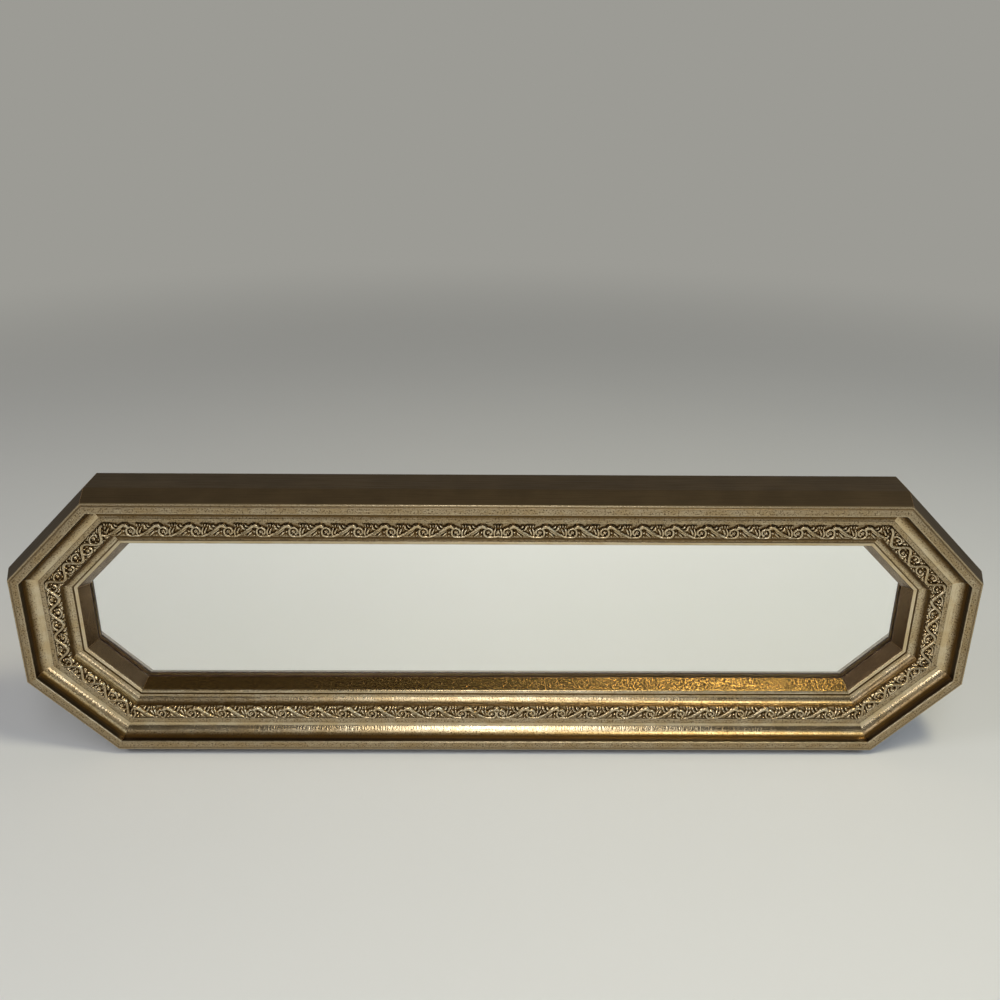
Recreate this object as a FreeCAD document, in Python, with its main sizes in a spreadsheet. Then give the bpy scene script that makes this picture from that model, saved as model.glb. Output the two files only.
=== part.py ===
import FreeCAD, Part
import collections
import math
import operator
import os

import Sketcher

# Octagonal wall mirror: eight mitred lengths of one deep gilt moulding round a silvered glass.
# The octagon is a regular one stretched sideways, so six of its sides are alike and every mitre is the same.
# Millimetres. +X runs along the long side, +Y from the front to the wall, +Z up.
# The origin is on the surface that the mirror stands on, under the middle of its box.

SIZES = {
    # Whole frame
    "overall_width": 762.0,
    "short_side": 96.0,
    # Moulding, from the side wall inwards; drops go back from the front of the rim
    "bevel_width": 5.7,
    "bevel_drop": 17.5,
    "ledge_width": 2.1,
    "ledge_drop": 0.5,
    "rim_width": 5.95,
    "rim_drop": 4.6,
    "cove_radius": 9.5,
    "fillet_rise": 0.5,
    "fillet_width": 3.65,
    "fillet_drop": 0.6,
    "channel_drop": 1.3,
    "channel_width": 12.0,
    "bead_cove_radius": 6.3,
    "groove_width": 1.0,
    "groove_drop": 1.2,
    "lip_rise": 0.6,
    "lip_width": 2.4,
    "lip_drop": 0.7,
    "slope_width": 5.6,
    "slope_drop": 11.2,
    "sight_edge": 2.0,
    "rabbet_width": 6.5,
    # Applied ornament
    "ornament_clearance": 0.2,
    "ornament_edge": 0.9,
    "ornament_height": 3.3,
    # Plates in the rabbet
    "plate_clearance": 1.0,
    "glass_thickness": 3.0,
    "filler_thickness": 2.0,
    "board_thickness": 3.0,
    "back_recess": 3.6,
    # Fasteners in the wood
    "point_width": 8.0,
    "point_length": 14.0,
    "point_drive": 7.0,
    "point_thickness": 0.8,
    "nail_leg": 4.5,
    "nail_thickness": 0.5,
    "nail_length": 8.0,
    "nail_margin": 12.0,
    # Hangers
    "strap_width": 12.0,
    "strap_length": 37.0,
    "strap_thickness": 1.0,
    "strap_end_radius": 4.0,
    "hinge_rise": 14.0,
    "ring_wire": 2.4,
    "ring_clearance": 0.3,
    "ring_half_width": 9.0,
    "ring_corner_radius": 2.4,
    "ring_side": 1.6,
    "screw_head_diameter": 6.4,
    "screw_head_height": 2.0,
    "screw_head_round": 1.2,
    "screw_diameter": 3.0,
    "screw_length": 16.0,
    "screw_hole_clearance": 0.6,
    # Wall bumpers
    "bumper_diameter": 10.0,
    "bumper_height": 6.0,
    "bumper_round": 1.6,
    "bumper_margin": 40.0,
    # One overrun for every cut
    "overrun": 5.0,
}

# Rails in the order that turns the bottom one round the frame, one side of the octagon at a time
RAIL_NAMES = ("bottom", "bottom_left", "left", "top_left", "top", "top_right", "right", "bottom_right")
LONG_RAIL_NAMES = ("bottom", "top")
TURN_BETWEEN_SIDES = 45
FIRST_MITRE_TURN = 2.5 * TURN_BETWEEN_SIDES
DIAGONAL_SHARE = math.sqrt(2)
MITRE_SHARE = math.tan(math.radians(TURN_BETWEEN_SIDES / 2))

# Places of fasteners: points along a rail, and screws down a strap from below its ring to its end
LONG_RAIL_POINT_SHARES = (-0.375, -0.125, 0.125, 0.375)
SHORT_RAIL_POINT_SHARES = (0.0,)
SCREW_SHARES = (0.25, 0.75)

doc = FreeCAD.newDocument("octagonal_mirror")
sheet = doc.addObject("Spreadsheet::Sheet", "sizes")


class Formula:
    """A value together with the spreadsheet expression that gives it."""

    OPERATORS = {"+": operator.add, "-": operator.sub, "*": operator.mul, "/": operator.truediv}

    def __init__(self, text, value):
        self.text = text
        self.value = value

    def joined(self, sign, other):
        if not isinstance(other, Formula):
            other = Formula(f"{other:.9f}", other)
        value = self.OPERATORS[sign](self.value, other.value)
        return Formula(f"({self.text} {sign} {other.text})", value)

    def __add__(self, other):
        return self.joined("+", other)

    def __sub__(self, other):
        return self.joined("-", other)

    def __mul__(self, other):
        return self.joined("*", other)

    def __truediv__(self, other):
        return self.joined("/", other)

    def __neg__(self):
        return self.joined("*", -1)

    def root(self):
        return Formula(f"sqrt({self.text})", math.sqrt(self.value))


def fill_sheet():
    """Writes the driving sizes into the sheet and returns them as formulas by name."""
    formulas = {}
    for row, (alias, value) in enumerate(SIZES.items(), start=1):
        sheet.set(f"A{row}", alias)
        sheet.set(f"B{row}", str(value))
        sheet.setAlias(f"B{row}", alias)
        formulas[alias] = Formula(f"sizes.{alias}", value)
    doc.recompute()
    return formulas


size = fill_sheet()
ZERO = size["overrun"] * 0

# Outline of the whole frame
corner_cut = size["short_side"] / DIAGONAL_SHARE
overall_height = size["short_side"] + corner_cut * 2
half_width = size["overall_width"] / 2
long_side = size["overall_width"] - corner_cut * 2

# Places across the moulding, measured in from the side wall
ledge_inset = size["bevel_width"] + size["ledge_width"]
rim_inset = ledge_inset + size["rim_width"]
cove_inset = rim_inset + size["cove_radius"]
channel_inset = cove_inset + size["fillet_width"]
bead_inset = channel_inset + size["channel_width"]
groove_inset = bead_inset + size["bead_cove_radius"]
lip_inset = groove_inset + size["groove_width"]
slope_inset = lip_inset + size["lip_width"]
sight_inset = slope_inset + size["slope_width"]
rabbet_inset = sight_inset - size["rabbet_width"]
back_middle_inset = rabbet_inset / 2

# Places in the depth of the frame, measured back from the front of the rim
bevel_depth = size["ledge_drop"] + size["bevel_drop"]
cove_depth = size["rim_drop"] + size["cove_radius"]
fillet_top_depth = cove_depth - size["fillet_rise"]
fillet_depth = fillet_top_depth + size["fillet_drop"]
channel_depth = fillet_depth + size["channel_drop"]
bead_cove_depth = channel_depth + size["bead_cove_radius"]
groove_depth = bead_cove_depth + size["groove_drop"]
lip_depth = groove_depth - size["lip_rise"]
slope_depth = lip_depth + size["lip_drop"]
sight_depth = slope_depth + size["slope_drop"]
glass_depth = sight_depth + size["sight_edge"]
filler_depth = glass_depth + size["glass_thickness"]
board_depth = filler_depth + size["filler_thickness"]
point_depth = board_depth + size["board_thickness"]
frame_depth = point_depth + size["point_thickness"] + size["back_recess"]
front = -(frame_depth + size["bumper_height"]) / 2
back = front + frame_depth

# Hinge of each hanger ring
wire_radius = size["ring_wire"] / 2
loop_inner_radius = wire_radius + size["ring_clearance"]
loop_radius = loop_inner_radius + size["strap_thickness"]
hanger_x = half_width - back_middle_inset
hanger_y = back + loop_radius
hanger_z = overall_height / 2 + size["hinge_rise"]
ring_side_end = size["ring_corner_radius"] + size["ring_side"]
ring_reach = ring_side_end + size["ring_half_width"] + wire_radius
screw_drops = [ring_reach + (size["strap_length"] - ring_reach) * share for share in SCREW_SHARES]


def octagon(inset):
    """Corners of the frame's outline moved in by an inset, from the right end of the bottom side round."""
    side_x = half_width - inset
    end_x = side_x - corner_cut + inset * (2 - DIAGONAL_SHARE)
    low_z = inset + corner_cut - inset * (2 - DIAGONAL_SHARE)
    high_z = overall_height - low_z
    top_z = overall_height - inset
    return [
        (end_x, inset), (side_x, low_z), (side_x, high_z), (end_x, top_z),
        (-end_x, top_z), (-side_x, high_z), (-side_x, low_z), (-end_x, inset),
    ]


Rail = collections.namedtuple("Rail", "turn middle_x middle_z run")


def find_rails():
    """Each rail's turn about Y, the middle of its outer side and its run; unturned it is the bottom rail."""
    corners = octagon(ZERO)
    rails = {}
    for number, name in enumerate(RAIL_NAMES):
        near_x, near_z = corners[-number]
        far_x, far_z = corners[-number - 1]
        run = long_side if name in LONG_RAIL_NAMES else size["short_side"]
        rails[name] = Rail(number * TURN_BETWEEN_SIDES, (near_x + far_x) / 2, (near_z + far_z) / 2, run)
    return rails


RAILS = find_rails()


def new_body(label):
    body = doc.addObject("PartDesign::Body", label)
    body.Label = label
    return body


def new_sketch(body, role, name):
    """Adds a sketch on one of the body's own origin planes."""
    plane = next(item for item in body.Origin.OriginFeatures if item.Role == role)
    sketch = body.newObject("Sketcher::SketchObject", name)
    sketch.AttachmentSupport = [(plane, "")]
    sketch.MapMode = "FlatFace"
    return sketch


def bind(sketch, kind, *where, formula):
    """Adds a dimension to a sketch and ties it to its formula."""
    index = sketch.addConstraint(Sketcher.Constraint(kind, *where, formula.value))
    sketch.setExpression(f"Constraints[{index}]", formula.text)


def pin_point(sketch, geometry, position, point):
    bind(sketch, "DistanceX", -1, 1, geometry, position, formula=point[0])
    bind(sketch, "DistanceY", -1, 1, geometry, position, formula=point[1])


def vector(point):
    return FreeCAD.Vector(point[0].value, point[1].value, 0)


def add_arc(sketch, start, end, centre):
    """Adds an arc of under a half circle; returns it and the ends that are its start and its end."""
    middle = vector(centre)
    from_middle = vector(start) - middle
    to_middle = vector(end) - middle
    circle = Part.Circle(middle, FreeCAD.Vector(0, 0, 1), from_middle.Length)
    angles = [math.atan2(arm.y, arm.x) for arm in (from_middle, to_middle)]
    forwards = from_middle.cross(to_middle).z > 0
    if not forwards:
        angles.reverse()
    arc = sketch.addGeometry(Part.ArcOfCircle(circle, *angles), False)
    chord = to_middle - from_middle
    if abs(chord.x) > abs(chord.y):
        bind(sketch, "DistanceY", -1, 1, arc, 3, formula=centre[1])
    else:
        bind(sketch, "DistanceX", -1, 1, arc, 3, formula=centre[0])
    return (arc, 1, 2) if forwards else (arc, 2, 1)


def draw_outline(sketch, corners):
    """Draws a closed outline; a corner's third item, if any, is the centre of the arc that starts there."""
    sides = []
    for number, (x, z, *arc_centre) in enumerate(corners):
        end = corners[(number + 1) % len(corners)]
        if arc_centre:
            sides.append(add_arc(sketch, (x, z), end, arc_centre[0]))
        else:
            line = sketch.addGeometry(Part.LineSegment(vector((x, z)), vector(end)), False)
            sides.append((line, 1, 2))
    for number, (geometry, first, last) in enumerate(sides):
        following = sides[(number + 1) % len(sides)]
        sketch.addConstraint(Sketcher.Constraint("Coincident", geometry, last, *following[:2]))
        pin_point(sketch, geometry, first, corners[number])


def draw_circle(sketch, centre, radius):
    circle = sketch.addGeometry(Part.Circle(vector(centre), FreeCAD.Vector(0, 0, 1), radius.value), False)
    pin_point(sketch, circle, 3, centre)
    bind(sketch, "Radius", circle, formula=radius)


def add_pad(body, sketch, length, side="One side", reverse=False):
    pad = body.newObject("PartDesign::Pad", f"{sketch.Name}_pad")
    pad.Profile = sketch
    pad.SideType = side
    pad.Reversed = reverse
    pad.setExpression("Length", length.text)
    doc.recompute()
    return pad


def cut_through(body, sketch):
    """Cuts a sketch right through the body and checks that the cut took something away."""
    before = body.Shape.Volume
    pocket = body.newObject("PartDesign::Pocket", f"{sketch.Name}_cut")
    pocket.Profile = sketch
    pocket.Type = "ThroughAll"
    pocket.SideType = "Symmetric"
    doc.recompute()
    if body.Shape.Volume >= before:
        raise RuntimeError(f"{sketch.Name} cuts nothing")


def round_edges(body, base, chosen, radius):
    """Rounds those edges of a feature that the given test picks."""
    names = [f"Edge{number}" for number, edge in enumerate(base.Shape.Edges, start=1) if chosen(edge)]
    fillet = body.newObject("PartDesign::Fillet", f"{body.Name}_round")
    fillet.Base = (base, names)
    fillet.setExpression("Radius", radius.text)
    doc.recompute()


def place(body, x=ZERO, y=ZERO, z=ZERO, turn=0):
    """Turns a body about Y, in degrees, and moves it to its place."""
    rotation = FreeCAD.Rotation(FreeCAD.Vector(0, 1, 0), turn)
    body.Placement = FreeCAD.Placement(FreeCAD.Vector(), rotation)
    for axis, formula in zip("xyz", (x, y, z)):
        body.setExpression(f"Placement.Base.{axis}", formula.text)


def on_rail(rail, along, inset):
    """Place in the frame's outline of a point along a rail and in from its outer side."""
    angle = math.radians(rail.turn)
    x = rail.middle_x + along * math.cos(angle) + inset * math.sin(angle)
    z = rail.middle_z - along * math.sin(angle) + inset * math.cos(angle)
    return (x, z)


def cut_mitres(body, run, name):
    """Cuts both ends of a length of moulding to the mitre, which starts at the ends of its outer side."""
    sketch = new_sketch(body, "XZ_Plane", name)
    height = sight_inset + size["overrun"]
    for hand in (-1, 1):
        outer = run / 2 + size["overrun"] * MITRE_SHARE
        inner = run / 2 - height * MITRE_SHARE
        corners = [
            (outer * hand, -size["overrun"]),
            ((outer + size["overrun"]) * hand, -size["overrun"]),
            ((outer + size["overrun"]) * hand, height),
            (inner * hand, height),
        ]
        draw_outline(sketch, corners)
    cut_through(body, sketch)


def make_rail(name):
    """One length of the moulding: bevelled wall, rim, two coves with the channel between, lip and rabbet."""
    rail = RAILS[name]
    body = new_body(f"{name}_rail")
    sketch = new_sketch(body, "YZ_Plane", f"{name}_moulding")
    rim_foot_y = front + size["rim_drop"]
    corners = [
        (back, ZERO),
        (front + bevel_depth, ZERO),
        (front + size["ledge_drop"], size["bevel_width"]),
        (front + size["ledge_drop"], ledge_inset),
        (front, ledge_inset),
        (front, rim_inset),
        (rim_foot_y, rim_inset, (rim_foot_y, cove_inset)),
        (front + cove_depth, cove_inset),
        (front + fillet_top_depth, cove_inset),
        (front + fillet_depth, channel_inset),
        (front + channel_depth, channel_inset),
        (front + channel_depth, bead_inset, (front + channel_depth, groove_inset)),
        (front + bead_cove_depth, groove_inset),
        (front + groove_depth, groove_inset),
        (front + groove_depth, lip_inset),
        (front + lip_depth, lip_inset),
        (front + slope_depth, slope_inset),
        (front + sight_depth, sight_inset),
        (front + glass_depth, sight_inset),
        (front + glass_depth, rabbet_inset),
        (back, rabbet_inset),
    ]
    draw_outline(sketch, corners)
    add_pad(body, sketch, rail.run + size["overrun"] * 2, side="Symmetric")
    cut_mitres(body, rail.run, f"{name}_mitres")
    place(body, x=rail.middle_x, z=rail.middle_z, turn=rail.turn)
    return body


def make_ornament(name):
    """One length of the applied scroll ornament as a low crowned strip in the channel of its rail."""
    rail = RAILS[name]
    body = new_body(f"{name}_ornament")
    sketch = new_sketch(body, "YZ_Plane", f"{name}_strip")
    outer = channel_inset + size["ornament_clearance"]
    inner = bead_inset - size["ornament_clearance"]
    middle = (outer + inner) / 2
    half = (inner - outer) / 2
    crown = size["ornament_height"] - size["ornament_edge"]
    crown_radius = (half * half / crown + crown) / 2
    ground_y = front + channel_depth
    edge_y = ground_y - size["ornament_edge"]
    crown_y = ground_y - size["ornament_height"]
    crown_centre = (crown_y + crown_radius, middle)
    corners = [
        (ground_y, inner),
        (ground_y, outer),
        (edge_y, outer, crown_centre),
        (crown_y, middle, crown_centre),
        (edge_y, inner),
    ]
    draw_outline(sketch, corners)
    add_pad(body, sketch, rail.run + size["overrun"] * 2, side="Symmetric")
    cut_mitres(body, rail.run, f"{name}_strip_mitres")
    place(body, x=rail.middle_x, z=rail.middle_z, turn=rail.turn)
    return body


def make_plate(label, depth, thickness):
    """An octagonal plate that drops into the rabbet."""
    body = new_body(label)
    sketch = new_sketch(body, "XZ_Plane", f"{label}_outline")
    draw_outline(sketch, octagon(rabbet_inset + size["plate_clearance"]))
    add_pad(body, sketch, thickness, reverse=True)
    place(body, y=front + depth)
    return body


def make_points():
    """Flat steel points in the rabbet wall, which press on the back of the board."""
    body = new_body("retaining_points")
    sketch = new_sketch(body, "XZ_Plane", "point_outlines")
    driven = rabbet_inset - size["point_drive"]
    free = driven + size["point_length"]
    half = size["point_width"] / 2
    for name, rail in RAILS.items():
        shares = LONG_RAIL_POINT_SHARES if name in LONG_RAIL_NAMES else SHORT_RAIL_POINT_SHARES
        for share in shares:
            along = rail.run * share
            places = [(along - half, driven), (along + half, driven), (along + half, free), (along - half, free)]
            draw_outline(sketch, [on_rail(rail, *spot) for spot in places])
    add_pad(body, sketch, size["point_thickness"], reverse=True)
    place(body, y=front + point_depth)
    return body


def make_mitre_nails():
    """Two V nails across each mitre, pressed in flush from behind, with their points towards the rim."""
    body = new_body("mitre_nails")
    sketch = new_sketch(body, "XZ_Plane", "nail_outlines")
    spread = size["nail_leg"] / DIAGONAL_SHARE
    thick = size["nail_thickness"] * DIAGONAL_SHARE
    for apex_inset in (size["nail_margin"], rabbet_inset - size["nail_margin"]):
        for number, (apex_x, apex_z) in enumerate(octagon(apex_inset)):
            inwards = math.radians(FIRST_MITRE_TURN + number * TURN_BETWEEN_SIDES)
            corners = []
            for forward, aside in (
                (spread, spread), (ZERO, ZERO), (spread, -spread),
                (spread + thick, -spread), (thick, ZERO), (spread + thick, spread),
            ):
                x = apex_x + forward * math.cos(inwards) - aside * math.sin(inwards)
                z = apex_z + forward * math.sin(inwards) + aside * math.cos(inwards)
                corners.append((x, z))
            draw_outline(sketch, corners)
    add_pad(body, sketch, size["nail_length"])
    place(body, y=back)
    return body


def make_hanger_plate(label, hand):
    """A steel strap folded round the straight leg of the ring, with two screw holes below it."""
    body = new_body(label)
    sketch = new_sketch(body, "YZ_Plane", f"{label}_fold")
    outer_face = -loop_radius + size["strap_thickness"]
    meeting_z = -(loop_radius * loop_radius - outer_face * outer_face).root()
    hinge = (ZERO, ZERO)
    corners = [
        (-loop_radius, -size["strap_length"]),
        (-loop_radius, ZERO, hinge),
        (ZERO, loop_radius, hinge),
        (loop_radius, ZERO, hinge),
        (ZERO, -loop_radius, hinge),
        (outer_face, meeting_z),
        (outer_face, -size["strap_length"]),
    ]
    draw_outline(sketch, corners)
    draw_circle(sketch, hinge, loop_inner_radius)
    strap = add_pad(body, sketch, size["strap_width"], side="Symmetric")
    end_z = -size["strap_length"].value

    def at_lower_corner(edge):
        ends = [vertex.Point for vertex in edge.Vertexes]
        across = abs(ends[0].x - ends[-1].x) < Part.Precision.confusion()
        return across and all(abs(end.z - end_z) < Part.Precision.confusion() for end in ends)

    round_edges(body, strap, at_lower_corner, size["strap_end_radius"])
    holes = new_sketch(body, "XZ_Plane", f"{label}_holes")
    for drop in screw_drops:
        draw_circle(holes, (ZERO, -drop), (size["screw_diameter"] + size["screw_hole_clearance"]) / 2)
    cut_through(body, holes)
    place(body, x=hanger_x * hand, y=hanger_y, z=hanger_z)
    return body


def make_hanger_ring(label, hand):
    """A D ring of round wire, hanging down from its straight leg."""
    body = new_body(label)
    path = new_sketch(body, "XZ_Plane", f"{label}_path")
    width = size["ring_half_width"]
    bend = size["ring_corner_radius"]
    leg_end = width - bend
    bow_centre = (ZERO, -ring_side_end)
    corners = [
        (ZERO, ZERO),
        (leg_end, ZERO, (leg_end, -bend)),
        (width, -bend),
        (width, -ring_side_end, bow_centre),
        (ZERO, -ring_side_end - width, bow_centre),
        (-width, -ring_side_end),
        (-width, -bend, (-leg_end, -bend)),
        (-leg_end, ZERO),
    ]
    draw_outline(path, corners)
    section = new_sketch(body, "YZ_Plane", f"{label}_section")
    draw_circle(section, (ZERO, ZERO), wire_radius)
    doc.recompute()
    pipe = body.newObject("PartDesign::AdditivePipe", f"{label}_wire")
    pipe.Profile = section
    pipe.Spine = path
    place(body, x=hanger_x * hand, y=hanger_y, z=hanger_z)
    return body


def make_screws():
    """The four pan head screws of the two straps."""
    body = new_body("hanger_screws")
    heads = new_sketch(body, "XZ_Plane", "screw_heads")
    shanks = new_sketch(body, "XZ_Plane", "screw_shanks")
    for hand in (-1, 1):
        for drop in screw_drops:
            centre = (hanger_x * hand, hanger_z - drop)
            draw_circle(heads, centre, size["screw_head_diameter"] / 2)
            draw_circle(shanks, centre, size["screw_diameter"] / 2)
    add_pad(body, heads, size["screw_head_height"], reverse=True)
    whole = add_pad(body, shanks, size["screw_length"])
    head_y = size["screw_head_height"].value

    def on_head_top(edge):
        return abs(edge.CenterOfMass.y - head_y) < Part.Precision.confusion()

    round_edges(body, whole, on_head_top, size["screw_head_round"])
    place(body, y=back + size["strap_thickness"])
    return body


def make_bumpers():
    """Two pads on the back of the bottom rail."""
    body = new_body("wall_bumpers")
    sketch = new_sketch(body, "XZ_Plane", "bumper_outlines")
    for hand in (-1, 1):
        centre = ((long_side / 2 - size["bumper_margin"]) * hand, back_middle_inset)
        draw_circle(sketch, centre, size["bumper_diameter"] / 2)
    pads = add_pad(body, sketch, size["bumper_height"], reverse=True)
    top_y = size["bumper_height"].value

    def on_pad_top(edge):
        return abs(edge.CenterOfMass.y - top_y) < Part.Precision.confusion()

    round_edges(body, pads, on_pad_top, size["bumper_round"])
    place(body, y=back)
    return body


def make_all():
    pieces = [make_rail(name) for name in RAIL_NAMES]
    pieces += [make_ornament(name) for name in RAIL_NAMES]
    pieces.append(make_plate("mirror_glass", glass_depth, size["glass_thickness"]))
    pieces.append(make_plate("filler_sheet", filler_depth, size["filler_thickness"]))
    pieces.append(make_plate("backing_board", board_depth, size["board_thickness"]))
    pieces.append(make_points())
    pieces.append(make_mitre_nails())
    for side, hand in (("left", -1), ("right", 1)):
        pieces.append(make_hanger_plate(f"{side}_hanger_plate", hand))
        pieces.append(make_hanger_ring(f"{side}_hanger_ring", hand))
    pieces.append(make_screws())
    pieces.append(make_bumpers())
    doc.recompute()
    return pieces


def check_and_export(pieces):
    """Stops on any failed object or shape, then writes one file for each piece."""
    failed = [item.Label for item in doc.Objects if {"Invalid", "Error"} & set(item.State)]
    failed += [piece.Label for piece in pieces if piece.Shape.isNull() or not piece.Shape.isValid()]
    if failed:
        raise RuntimeError(f"failed objects: {failed}")
    os.makedirs("parts", exist_ok=True)
    for piece in pieces:
        piece.Shape.exportStep(f"parts/{piece.Label}.step")
        print(piece.Label, len(piece.Shape.Solids), "solids", round(piece.Shape.Volume, 1), "mm3")


check_and_export(make_all())
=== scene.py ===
import math
from collections import namedtuple
from functools import partial

import bmesh
import bpy
import numpy as np
from mathutils import Matrix, Vector


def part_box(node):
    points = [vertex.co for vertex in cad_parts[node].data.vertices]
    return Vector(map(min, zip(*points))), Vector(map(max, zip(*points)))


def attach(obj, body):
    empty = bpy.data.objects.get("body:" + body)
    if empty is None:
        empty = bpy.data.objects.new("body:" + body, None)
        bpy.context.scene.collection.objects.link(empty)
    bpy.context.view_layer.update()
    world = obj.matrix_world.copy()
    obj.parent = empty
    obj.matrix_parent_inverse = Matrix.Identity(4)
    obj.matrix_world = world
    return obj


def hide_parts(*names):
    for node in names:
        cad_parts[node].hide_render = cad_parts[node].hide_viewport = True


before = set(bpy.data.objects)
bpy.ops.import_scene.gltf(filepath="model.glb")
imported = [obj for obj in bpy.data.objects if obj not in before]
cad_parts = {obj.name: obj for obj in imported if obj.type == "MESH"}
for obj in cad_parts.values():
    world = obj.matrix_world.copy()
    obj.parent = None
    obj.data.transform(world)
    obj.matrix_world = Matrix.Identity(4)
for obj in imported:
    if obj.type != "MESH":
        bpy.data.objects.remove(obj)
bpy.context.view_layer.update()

# Octagonal wall mirror: gilt moulding with applied scroll ornament round a silvered glass.
# The moulding is drawn in millimetres, the scene is in metres in the model's own frame.
MM = 0.001

# Whole frame, read from the model
bottom_low, bottom_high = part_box("bottom_rail")
left_low, left_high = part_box("left_rail")
FRONT = bottom_low.y
BACK = bottom_high.y
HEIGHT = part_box("top_rail")[1].z
HALF_WIDTH = -left_low.x
LONG_RUN = bottom_high.x - bottom_low.x
SHORT_RUN = left_high.z - left_low.z

# Small steps that keep the glass clear of the sheet behind it and let the flush nails show in the back
GLASS_SHY = 0.05
BACK_SHY = 0.08
FRAME_DEPTH = (BACK - FRONT) / MM - BACK_SHY

# Rails in the order that turns the bottom one round the frame, one side of the octagon at a time
RAIL_NAMES = ("bottom", "bottom_left", "left", "top_left", "top", "top_right", "right", "bottom_right")
SIDE_TURN = math.radians(45)
MITRE_SHARE = math.tan(SIDE_TURN / 2)
MITRE_GAP = 0.07

# Moulding: places in from the side wall, and depths back from the front of the rim
BEVEL_WIDTH = 5.7
BEVEL_DEPTH = 18.0
LEDGE_INSET = 7.8
LEDGE_DEPTH = 0.5
RIM_INSET = 13.75
RIM_DROP = 4.6
COVE_INSET = 23.25
COVE_DEPTH = 14.1
FILLET_TOP_DEPTH = 13.6
CHANNEL_INSET = 26.9
FILLET_DEPTH = 14.2
CHANNEL_DEPTH = 15.5
BEAD_INSET = 38.9
GROOVE_INSET = 45.2
BEAD_DEPTH = 21.8
GROOVE_DEPTH = 23.0
LIP_INSET = 46.2
LIP_DEPTH = 22.4
SLOPE_INSET = 48.6
SLOPE_DEPTH = 23.1
SIGHT_INSET = 54.2
SIGHT_DEPTH = 34.3
GLASS_DEPTH = 36.3
RABBET_INSET = 47.7
GLASS_INSET = 48.7
GLASS_THICKNESS = 3.0

# Fineness of the moulding's mesh, and how far wear with its painted highlight and grime with its painted
# shade reach from its corners
ROUND_SEGMENTS = 4
ARC_STEP = 0.6
ACROSS_STEP = 1.0
ALONG_STEP = 5.0
WEAR_AND_HIGHLIGHT_REACH = 0.6
GRIME_AND_SHADE_REACH = 0.9

# Largest share of a face that the rounding of one of its corners takes
ROUNDING_SHARE = 0.45

# Where the brown wash and painted shade start to fade on the coves and where they end, as shares of their
# turn, and how much further they spread on some rails, of which the ends take a share; the extra on the top
# rails is painted shade under the rim
WASH_AND_SHADE_START = 0.10
COVE_WASH_AND_SHADE_END = 0.78
COVE_SPREAD_SHARE = 0.70
BEAD_WASH_AND_SHADE_END = 0.68
BEAD_SPREAD_SHARE = 0.75
WASH_AND_SHADE_SPREAD = {"bottom": -0.08, "top": 0.60, "top_left": 0.20, "top_right": 0.20}

# Applied ornament
STRIP_CLEARANCE = 0.2
STRIP_OUTER = CHANNEL_INSET + STRIP_CLEARANCE
STRIP_WIDTH = BEAD_INSET - CHANNEL_INSET - 2 * STRIP_CLEARANCE
RELIEF_HEIGHT = 3.3
BED_HEIGHT = 0.7
RELIEF_STEP = 0.32
TILE_STEP = 0.1
HOLLOW_REACH = 11
EDGE_SHOULDER = 1.0
EDGE_HEIGHT_SHARE = 0.5
LONG_PERIOD = 24.8
SHORT_PERIOD = 22.9
VINE_SWING = 4.2

# Grime and painted shade of the ornament where it is level and their growth in hollows; growth of wear and
# painted highlight on heights, and the part taken off it, so that only the highest places are rubbed and lit
LEVEL_GRIME_AND_SHADE = 0.44
HOLLOW_GRIME_AND_SHADE = 0.75
HEIGHT_WEAR_AND_HIGHLIGHT = 0.8
WEAR_AND_HIGHLIGHT_OFFSET = 0.25

# Which way the long scroll runs from the middle of its rail, and the place in the repeat where it starts
Flow = namedtuple("Flow", "way start")
LONG_FLOWS = {"bottom": Flow(-1, 11.2), "top": Flow(1, 0.0)}

# Camera: lens, place and angles that fit the outlines in the photograph
SENSOR_WIDTH = 36.0
LENS = 37.8
CAMERA_PLACE = Vector((-0.00759, -0.74229, 0.53984))
CAMERA_PITCH = math.radians(23.37)
CAMERA_YAW = math.radians(0.70)
CAMERA_ROLL = math.radians(0.52)


def colour(red, green, blue):
    """A display colour from 0 to 255 as the linear one that the shaders take."""
    channels = []
    for value in (red, green, blue):
        share = value / 255
        channels.append(share / 12.92 if share <= 0.04045 else ((share + 0.055) / 1.055) ** 2.4)
    return (*channels, 1.0)


BACKDROP = colour(156, 155, 149)


# Materials


def new_material(name):
    """An empty material with its principled shader."""
    material = bpy.data.materials.new(name)
    material.use_nodes = True
    return material, material.node_tree, material.node_tree.nodes["Principled BSDF"]


def add_node(tree, kind, settings=None, **inputs):
    """Adds a node; an input given as a socket is linked, any other value is set. Spaces are written as _."""
    node = tree.nodes.new(kind)
    for name, value in (settings or {}).items():
        setattr(node, name, value)
    for name, value in inputs.items():
        set_input(tree, node.inputs[name.replace("_", " ")], value)
    return node


def set_input(tree, socket, value):
    if isinstance(value, bpy.types.NodeSocket):
        tree.links.new(value, socket)
    else:
        socket.default_value = value


def attribute(tree, name, output="Fac"):
    return add_node(tree, "ShaderNodeAttribute", {"attribute_name": name}).outputs[output]


def object_place(tree):
    return add_node(tree, "ShaderNodeTexCoord").outputs["Object"]


def stretched(tree, vector, scale):
    return add_node(tree, "ShaderNodeMapping", Vector=vector, Scale=scale).outputs["Vector"]


def noise_value(tree, vector, scale, detail=3.0, roughness=0.55):
    inputs = {"Vector": vector, "Scale": scale, "Detail": detail, "Roughness": roughness}
    return add_node(tree, "ShaderNodeTexNoise", **inputs).outputs["Fac"]


def spots(tree, vector, scale):
    """Distance to the nearest of scattered points."""
    return add_node(tree, "ShaderNodeTexVoronoi", Vector=vector, Scale=scale).outputs["Distance"]


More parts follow.
